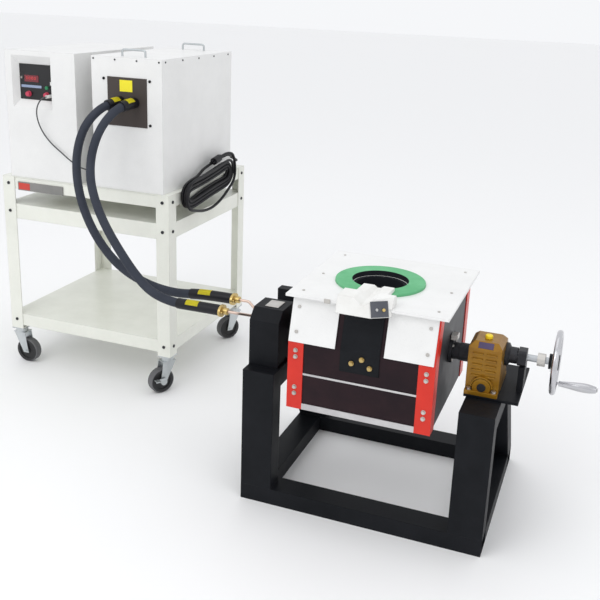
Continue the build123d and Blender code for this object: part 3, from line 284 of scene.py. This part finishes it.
def linePoints(points, resolution=12):
    holder = bpy.data.objects.new("line", routeCurve("line", points, resolution=resolution))
    mesh = bpy.data.meshes.new_from_object(holder)
    line = [vertex.co.copy() for vertex in mesh.vertices]
    bpy.data.objects.remove(holder)
    bpy.data.meshes.remove(mesh)
    return line


def lineLength(line):
    return sum((b - a).length for a, b in zip(line, line[1:]))


# the stretch of a line between two distances from its start
def lineStretch(line, start, end):
    run, kept = 0.0, []
    for a, b in zip(line, line[1:]):
        step = (b - a).length
        if run <= start < run + step:
            kept.append(a.lerp(b, (start - run) / step))
        if start < run + step < end:
            kept.append(b.copy())
        if run <= end < run + step:
            kept.append(a.lerp(b, (end - run) / step))
        run += step
    return kept


def tubeMesh(name, line, radius, sides=20):
    data = bpy.data.curves.new(name, "CURVE")
    data.dimensions = "3D"
    spline = data.splines.new("POLY")
    spline.points.add(len(line) - 1)
    for spot, point in zip(spline.points, line):
        spot.co = (*point, 1)
    data.bevel_depth = radius
    data.bevel_resolution = sides // 2 - 2
    data.use_fill_caps = True
    holder = bpy.data.objects.new(name, data)
    mesh = bpy.data.meshes.new_from_object(holder)
    bpy.data.objects.remove(holder)
    for polygon in mesh.polygons:
        polygon.use_smooth = True
    return mesh


# ---- power leads --------------------------------------------------------------------------------
leads = {
    "radius": 0.015,
    "glandLength": 0.075, "endSleeve": 0.155, "sleeveRadius": 0.0175,
    "blendStart": (-0.93, 0.176, 0.525), "blendEnd": (-0.5203, 0.176, 0.525),
    "outer": [(-1.120, 0.503, 1.118), (-1.120, 0.453, 1.118), (-1.140, 0.398, 1.103),
              (-1.176, 0.355, 1.046), (-1.192, 0.326, 0.960), (-1.178, 0.299, 0.866),
              (-1.138, 0.275, 0.766), (-1.068, 0.254, 0.668), (-0.975, 0.238, 0.590),
              (-0.862, 0.226, 0.548), (-0.742, 0.213, 0.537), (-0.625, 0.195, 0.560),
              (-0.5203, 0.195, 0.560)],
    "inner": [(-1.062, 0.503, 1.118), (-1.062, 0.450, 1.118), (-1.082, 0.394, 1.098),
              (-1.108, 0.346, 1.040), (-1.118, 0.306, 0.962), (-1.103, 0.270, 0.882),
              (-1.062, 0.238, 0.808), (-1.004, 0.207, 0.738), (-0.935, 0.180, 0.670),
              (-0.862, 0.157, 0.604), (-0.790, 0.134, 0.560), (-0.700, 0.115, 0.545),
              (-0.612, 0.107, 0.550), (-0.5203, 0.107, 0.550)],
}


# a blank label wrapped round the top of a lead
def wrapLabel(name, line, start, length, radius, spread):
    stretch = lineStretch(line, start, start + length)
    bm = bmesh.new()
    rows = []
    for index, point in enumerate(stretch):
        ahead = stretch[min(index + 1, len(stretch) - 1)] - stretch[max(index - 1, 0)]
        ahead.normalize()
        side = ahead.cross(Vector((0, 0, 1))).normalized()
        up = side.cross(ahead)
        row = []
        for step in range(9):
            angle = math.radians(spread * (step / 8 - 0.5))
            row.append(bm.verts.new(point + (up * math.cos(angle) + side * math.sin(angle)) * radius))
        rows.append(row)
    for first, second in zip(rows, rows[1:]):
        for a, b, c, d in zip(first, first[1:], second[1:], second):
            bm.faces.new((a, b, c, d))
    bmesh.ops.solidify(bm, geom=bm.faces, thickness=0.0005)
    return meshFrom(bm, name, smooth=True)


sleevePieces = []
for leadName in ("outer", "inner"):
    route = leads[leadName]
    line = linePoints(route)
    length = lineLength(line)
    hose = placePiece(f"power_hose_{leadName}", tubeMesh(f"power_hose_{leadName}", line, leads["radius"], 24),
                      "lead_hose", None)
    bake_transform(hose)
    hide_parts(f"power_lead_{leadName}")
    gland = placePiece(f"exit_sleeve_{leadName}",
                       tubeMesh("exitSleeve", lineStretch(line, 0, leads["glandLength"]), 0.0195),
                       "sleeve_black", "stand")
    endStart = length - leads["endSleeve"]
    sleeve = placePiece(f"end_sleeve_{leadName}",
                        tubeMesh("endSleeve", lineStretch(line, endStart, length - 0.0005),
                                 leads["sleeveRadius"]),
                        "sleeve_black", None)
    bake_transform(sleeve)
    exitLabel = placePiece(f"exit_label_{leadName}",
                           wrapLabel("exitLabel", line, 0.022, 0.034, 0.0199, 130),
                           "label_yellow", "stand")
    endLabel = placePiece(f"end_label_{leadName}",
                          wrapLabel("endLabel", line, endStart + 0.035, 0.045, 0.0179, 140),
                          "label_yellow", None)
    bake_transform(endLabel)
    pieces = [gland, sleeve, exitLabel, endLabel]
    sleevePieces += pieces
    print("power lead", leadName, "length", round(length, 3))
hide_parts("lead_sleeves")

# ---- control lead -------------------------------------------------------------------------------
controlLead = {
    "radius": 0.0025,
    "route": [(-1.432, 0.489, 1.112), (-1.432, 0.470, 1.112), (-1.443, 0.459, 1.096), (-1.460, 0.465, 1.068),
              (-1.470, 0.478, 1.034), (-1.466, 0.488, 0.998), (-1.450, 0.495, 0.964),
              (-1.422, 0.498, 0.934), (-1.384, 0.498, 0.908), (-1.344, 0.495, 0.882),
              (-1.306, 0.493, 0.862), (-1.286, 0.509, 0.850), (-1.280, 0.540, 0.846),
              (-1.277, 0.574, 0.845), (-1.268, 0.596, 0.845), (-1.248, 0.596, 0.845)],
}
controlData = routeCurve("control_cable", controlLead["route"], controlLead["radius"], 4)
controlData.materials.append(finishes["cable_grey"])
controlCable = bpy.data.objects.new("control_cable", controlData)
scene.collection.objects.link(controlCable)
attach(controlCable, "stand")
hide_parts("control_lead")
controlLength = lineLength(linePoints(controlLead["route"]))
print("control lead length", round(controlLength, 3))

# ---- mains lead and its hank --------------------------------------------------------------------
mains = {
    "radius": 0.0055, "exit": (-0.992, 1.071, 0.838), "faceX": -0.9247, "middle": (0.790, 0.783), "tilt": 6.0,
    "half": 0.155, "bend": 0.0535, "spacing": 0.0117, "steps": 16,
    # each layer: distance from the cart's side, depths of its first and last turn, dips of its top and bottom
    "layers": [{"out": 0.0065, "first": 0.0, "last": 3.0, "top": 0.002, "bottom": 0.008},
               {"out": 0.0190, "first": 3.0, "last": -0.3, "top": 0.005, "bottom": 0.002},
               {"out": 0.0316, "first": -0.3, "last": -0.6, "top": 0.003, "bottom": -0.036}],
}
mainsTilt = math.radians(mains["tilt"])


# a point in the hank's own plane: along it, across it, and out from the cart
def hankPoint(along, across, out):
    y = mains["middle"][0] + along * math.cos(mainsTilt) - across * math.sin(mainsTilt)
    z = mains["middle"][1] + along * math.sin(mainsTilt) + across * math.cos(mainsTilt)
    return (mains["faceX"] + out, y, z)


# one turn runs forwards along the top, round the front bend, back along the bottom and round the rear bend
def turnPoint(share, radius, layer):
    half = mains["half"]
    if share < 0.25:
        along = half * (1 - 8 * share)
        return along, radius - layer["top"] * (1 - (along / half) ** 2)
    if share < 0.5:
        angle = math.pi * (share - 0.25) * 4
        return -half - radius * math.sin(angle), radius * math.cos(angle)
    if share < 0.75:
        along = half * (8 * (share - 0.5) - 1)
        return along, layer["bottom"] * (1 - (along / half) ** 2) - radius
    angle = math.pi * (share - 0.75) * 4
    return half + radius * math.sin(angle), -radius * math.cos(angle)


def hankTurns():
    spots = []
    for order, layer in enumerate(mains["layers"]):
        turns = max(1, round(abs(layer["last"] - layer["first"])))
        count = turns * mains["steps"]
        last = order == len(mains["layers"]) - 1
        for step in range(count):
            depth = layer["first"] + (layer["last"] - layer["first"]) * step / count
            radius = mains["bend"] - depth * mains["spacing"]
            out = layer["out"]
            if not last and step > count - 3:
                rise = mains["layers"][order + 1]["out"] - out
                out += rise * (step - count + 3) / 3
            along, across = turnPoint(step % mains["steps"] / mains["steps"], radius, layer)
            spots.append(hankPoint(along, across, out))
    return spots


exitX, exitY, exitZ = mains["exit"]
feed = [(exitX, exitY, exitZ), (exitX, exitY + 0.026, exitZ), (exitX + 0.016, exitY + 0.040, 0.834),
        (exitX + 0.044, exitY + 0.036, 0.828), (-0.9257, exitY + 0.014, 0.826), (-0.9165, exitY - 0.018, 0.832)]
feed += [hankPoint(*spot) for spot in ((0.232, 0.050, 0.0064), (0.195, 0.066, 0.0062), (0.140, 0.0685, 0.0060),
                                       (0.080, 0.0680, 0.0060), (0.020, 0.0672, 0.0060),
                                       (-0.022, 0.0640, 0.0062), (-0.058, 0.0545, 0.0064))]
tail = [hankPoint(0.204, 0.067, 0.0305), (-0.9000, 0.9560, 0.8805), (-0.9032, 0.9257, 0.8812),
        (-0.9047, 0.8891, 0.8754)]
mainsRoute = feed + hankTurns()[3:-1] + tail
mainsData = routeCurve("mains_cable", mainsRoute, mains["radius"], 6, resolution=8)
mainsData.materials.append(finishes["cable_black"])
mainsCable = bpy.data.objects.new("mains_cable", mainsData)
scene.collection.objects.link(mainsCable)
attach(mainsCable, "stand")
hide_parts("mains_lead", "mains_hank")
mainsLength = lineLength(linePoints(mainsRoute, 8))
print("mains lead length", round(mainsLength, 3))


# ---- second finishes on the CAD pieces ----------------------------------------------------------
def paintFaces(nodeName, finishName, chosen):
    mesh = shown[nodeName].data
    mesh.materials.append(finishes[finishName])
    index = len(mesh.materials) - 1
    for polygon in mesh.polygons:
        if chosen(polygon.center):
            polygon.material_index = index


cart = {"left": -1.665, "right": -0.925, "front": 0.501, "back": 1.161}
shaft = {"y": 0.176, "z": 0.542}
pot = {"x": -0.027, "y": 0.180, "bore": 0.0852}
clamp = {"corner": (0.019, -0.079, 0.681), "turn": 34, "lean": 24, "bottom": 0.678}


def offShaft(point):
    return math.hypot(point.y - shaft["y"], point.z - shaft["z"])


# how far a point lies ahead of the spout's turned face, which carries the clamp plate
def offClamp(point):
    turn, lean = math.radians(clamp["turn"]), math.radians(clamp["lean"])
    outward = Vector((math.sin(turn) * math.cos(lean), -math.cos(turn) * math.cos(lean), math.sin(lean)))
    return outward.dot(Vector(point) - Vector(clamp["corner"]))


paintFaces("cart_frame", "dark_iron", lambda c: c.x < cart["left"] - 0.0002 or c.x > cart["right"] + 0.0002
           or c.y < cart["front"] - 0.0002 or c.y > cart["back"] + 0.0002)
paintFaces("apron_plate", "clamp_slate", lambda c: offClamp(c) > 0.0001 and c.z > clamp["bottom"])
paintFaces("apron_plate", "brass_fitting", lambda c: offClamp(c) > 0.0036 and c.z > clamp["bottom"])
paintFaces("gearbox_plate", "steel_bolt", lambda c: c.z > 0.4573 and c.x < 0.36)
paintFaces("terminal_plate", "black_steel", lambda c: c.x < -1.175 or c.x > -1.011)
paintFaces("handwheel", "black_steel", lambda c: offShaft(c) < 0.0245)
paintFaces("input_shaft", "steel_bolt", lambda c: c.x > 0.449 and offShaft(c) > 0.012)
# the ring's bore faces take the dark graphite finish as painted shade inside the bore; the ring itself is green
# refractory
paintFaces("refractory_ring", "graphite", lambda c: math.hypot(c.x - pot["x"], c.y - pot["y"]) < pot["bore"])
paintFaces("control_panel", "plug_white", lambda c: c.y < 0.5288)
for corner in ("front_left", "front_right", "rear_right", "rear_left"):
    low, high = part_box(f"caster_wheel_{corner}")
    middle = (Vector(low) + Vector(high)) / 2
    paintFaces(f"caster_wheel_{corner}", "tread_grey", lambda c, m=middle: (c - m).length > 0.0455)
print("second finishes painted")


# ---- furnace details ----------------------------------------------------------------------------
def rodMesh(start, end, radius, sides=32, rim=0.0):
    bm = bmesh.new()
    start, end = Vector(start), Vector(end)
    length = (end - start).length
    turn = (end - start).to_track_quat("Z", "Y").to_matrix().to_4x4()
    bmesh.ops.create_cone(bm, cap_ends=True, segments=sides, radius1=radius, radius2=radius, depth=length,
                          matrix=Matrix.Translation((start + end) / 2) @ turn)
    if rim:
        caps = [edge for edge in bm.edges if len([f for f in edge.link_faces if len(f.verts) > 4]) == 1]
        bmesh.ops.bevel(bm, geom=caps, offset=rim, segments=3, affect="EDGES", profile=0.5, material=-1)
    return bm


def joinBmeshes(parts):
    whole = bmesh.new()
    for part in parts:
        mesh = bpy.data.meshes.new("part")
        part.to_mesh(mesh)
        part.free()
        whole.from_mesh(mesh)
        bpy.data.meshes.remove(mesh)
    return whole


def addPiece(name, parts, finish, body, smooth=False):
    return placePiece(name, meshFrom(joinBmeshes(parts), name, smooth), finish, body)


# hexagon heads over the plain CAD bolts of the red posts
boxSides = {"x": (-0.2055, 0.1795), "front": -0.047, "back": 0.431, "heights": (0.4088, 0.5243), "pair": 0.010}
heads = []
for x in boxSides["x"]:
    for height in boxSides["heights"]:
        for rise in (-boxSides["pair"], boxSides["pair"]):
            z = height + rise
            heads.append(rodMesh((x, -0.0468, z), (x, -0.0482, z), 0.0068, 32, 0.0004))
            heads.append(rodMesh((x, -0.0482, z), (x, -0.0530, z), 0.0056, 6, 0.0005))
addPiece("post_bolt_heads", heads, "steel_bolt", "furnace")

# small clip on the top plate's front edge
addPiece("plate_clip", [roundedBox((-0.128, -0.0425, 0.6895), (-0.110, -0.0388, 0.7025), 0.0006)],
         "steel_bolt", "furnace")

# stop block on the drive side's flange
addPiece("flange_block", [roundedBox((0.2015, 0.158, 0.5625), (0.2215, 0.190, 0.5785), 0.0015)],
         "steel_bolt", "furnace")

# worn steel pad on the front bearing cheek
addPiece("cheek_pad", [roundedBox((-0.346, 0.052, 0.6128), (-0.302, 0.106, 0.6152), 0.0008)],
         "steel_bolt", "stand")

# ---- gearbox details ----------------------------------------------------------------------------
gearbox = {"x": 0.314, "wormZ": 0.469}
gearboxBlank = roundedBox((-0.021, -0.0014, -0.0095), (0.021, 0.0006, 0.0095), 0.0005)
bmesh.ops.rotate(gearboxBlank, verts=gearboxBlank.verts, matrix=Matrix.Rotation(math.radians(-45), 3, "X"))
bmesh.ops.translate(gearboxBlank, verts=gearboxBlank.verts, vec=(gearbox["x"], 0.094, 0.589))
addPiece("gearbox_plate_blank", [gearboxBlank], "blank_purple", "stand")
arch = bmesh.new()
profile = [arch.verts.new((gearbox["x"] + 0.0315, y, gearbox["wormZ"])) for y in (0.0855, 0.0735)]
profile += [arch.verts.new((gearbox["x"] + 0.0275, y, gearbox["wormZ"])) for y in (0.0735, 0.0855)]
ring = [arch.edges.new((a, b)) for a, b in zip(profile, profile[1:] + profile[:1])]
bmesh.ops.spin(arch, geom=profile + ring, cent=(gearbox["x"], 0.08, gearbox["wormZ"]), axis=(0, -1, 0),
               angle=math.pi, steps=28)
placePiece("gearbox_arch", meshFrom(arch, "gearbox_arch"), "bronze_paint", "stand")
addPiece("worm_cover_cap", [rodMesh((gearbox["x"], 0.0735, gearbox["wormZ"]),
                                    (gearbox["x"], 0.0705, gearbox["wormZ"]), 0.0125, 32, 0.0008)],
         "dark_iron", "stand")

# ---- cart details -------------------------------------------------------------------------------
badge = {"left": -1.593, "right": -1.385, "bottom": 0.738, "top": 0.772, "face": 0.5035}
addPiece("badge_plate", [roundedBox((badge["left"], 0.4995, badge["bottom"]),
                                    (badge["right"], badge["face"], badge["top"]), 0.0008)],
         "badge_grey", "stand")
addPiece("badge_band", [roundedBox((badge["left"] + 0.004, 0.4987, badge["bottom"] + 0.004),
                                   (badge["left"] + 0.056, 0.5002, badge["top"] - 0.004), 0.0004)],
         "badge_red", "stand")

# ---- panel details ------------------------------------------------------------------------------
panelY = 0.529
addPiece("pill_key", [roundedBox((-1.571, 0.5268, 1.1362), (-1.480, panelY + 0.0005, 1.1462), 0.0012)],
         "key_blue", "stand")
addPiece("panel_toggle", [rodMesh((-1.566, 0.5292, 1.1735), (-1.566, 0.5215, 1.1735), 0.0042, 24, 0.0006),
                          rodMesh((-1.566, 0.5220, 1.1735), (-1.566, 0.5120, 1.1765), 0.0018, 16, 0.0004)],
         "steel_bolt", "stand")
addPiece("panel_switch", [roundedBox((-1.4400, 0.5262, 1.1500), (-1.4290, panelY + 0.0005, 1.1640), 0.0009)],
         "plug_white", "stand")
for order, width in enumerate((0.0, 1.0, 2.0, 3.0)):
    digitX = -1.5475 + width * 0.0118
    addPiece(f"digit_{order + 1}", [
        roundedBox((digitX, 0.52725, 1.1680), (digitX + 0.0016, 0.5278, 1.1760), 0.0002),
        roundedBox((digitX + 0.0060, 0.52725, 1.1680), (digitX + 0.0076, 0.5278, 1.1760), 0.0002),
        roundedBox((digitX + 0.0012, 0.52725, 1.1755), (digitX + 0.0064, 0.5278, 1.1769), 0.0002),
        roundedBox((digitX + 0.0012, 0.52725, 1.1671), (digitX + 0.0064, 0.5278, 1.1685), 0.0002)],
        "digit_red", "stand")

# ---- terminal plate's label and the heat station's lid screws -------------------------------------
addPiece("terminal_label", [roundedBox((-1.122, 0.5018, 1.1550), (-1.070, 0.5034, 1.1960), 0.0004)],
         "label_yellow", "stand")
lidScrews = []
for share in range(4):
    x = -1.232 + share * 0.090
    lidScrews.append(rodMesh((x, 0.5062, 1.2655), (x, 0.5040, 1.2655), 0.0032, 20, 0.0004))
for share in range(5):
    y = 0.530 + share * 0.127
    lidScrews.append(rodMesh((-0.9502, y, 1.2655), (-0.9480, y, 1.2655), 0.0032, 20, 0.0004))
addPiece("lid_screws", lidScrews, "dark_iron", "stand")
print("details placed")

# ---- floor and light ----------------------------------------------------------------------------
floorMesh = bpy.data.meshes.new("floor")
floorShape = bmesh.new()
bmesh.ops.create_grid(floorShape, x_segments=1, y_segments=1, size=30)
floorShape.to_mesh(floorMesh)
floorShape.free()
floor = bpy.data.objects.new("floor", floorMesh)
scene.collection.objects.link(floor)
floorPaint = bpy.data.materials.new("floor_pale")
floorPaint.use_nodes = True
floorPaint.node_tree.nodes["Principled BSDF"].inputs["Base Color"].default_value = (0.94, 0.94, 0.94, 1)
floorPaint.node_tree.nodes["Principled BSDF"].inputs["Roughness"].default_value = 0.7
floorMesh.materials.append(floorPaint)

world = bpy.data.worlds.new("world")
world.use_nodes = True
world.node_tree.nodes["Background"].inputs["Color"].default_value = (0.97, 0.98, 1.0, 1)
world.node_tree.nodes["Background"].inputs["Strength"].default_value = 0.95
scene.world = world

for name, place, aim, size, watts in (
        ("key", (-1.6, -2.6, 3.4), (-0.5, 0.3, 0.5), 2.2, 34),
        ("fill", (2.8, -1.6, 2.2), (-0.2, 0.3, 0.5), 2.5, 8),
        ("top", (-0.4, 0.6, 4.2), (-0.4, 0.5, 0.5), 3.0, 12)):
    lampData = bpy.data.lights.new(name, "AREA")
    lampData.size = size
    lampData.energy = watts
    lamp = bpy.data.objects.new(name, lampData)
    scene.collection.objects.link(lamp)
    lamp.location = place
    lamp.rotation_euler = (Vector(aim) - Vector(place)).to_track_quat("-Z", "Y").to_euler()
print("stage ready")
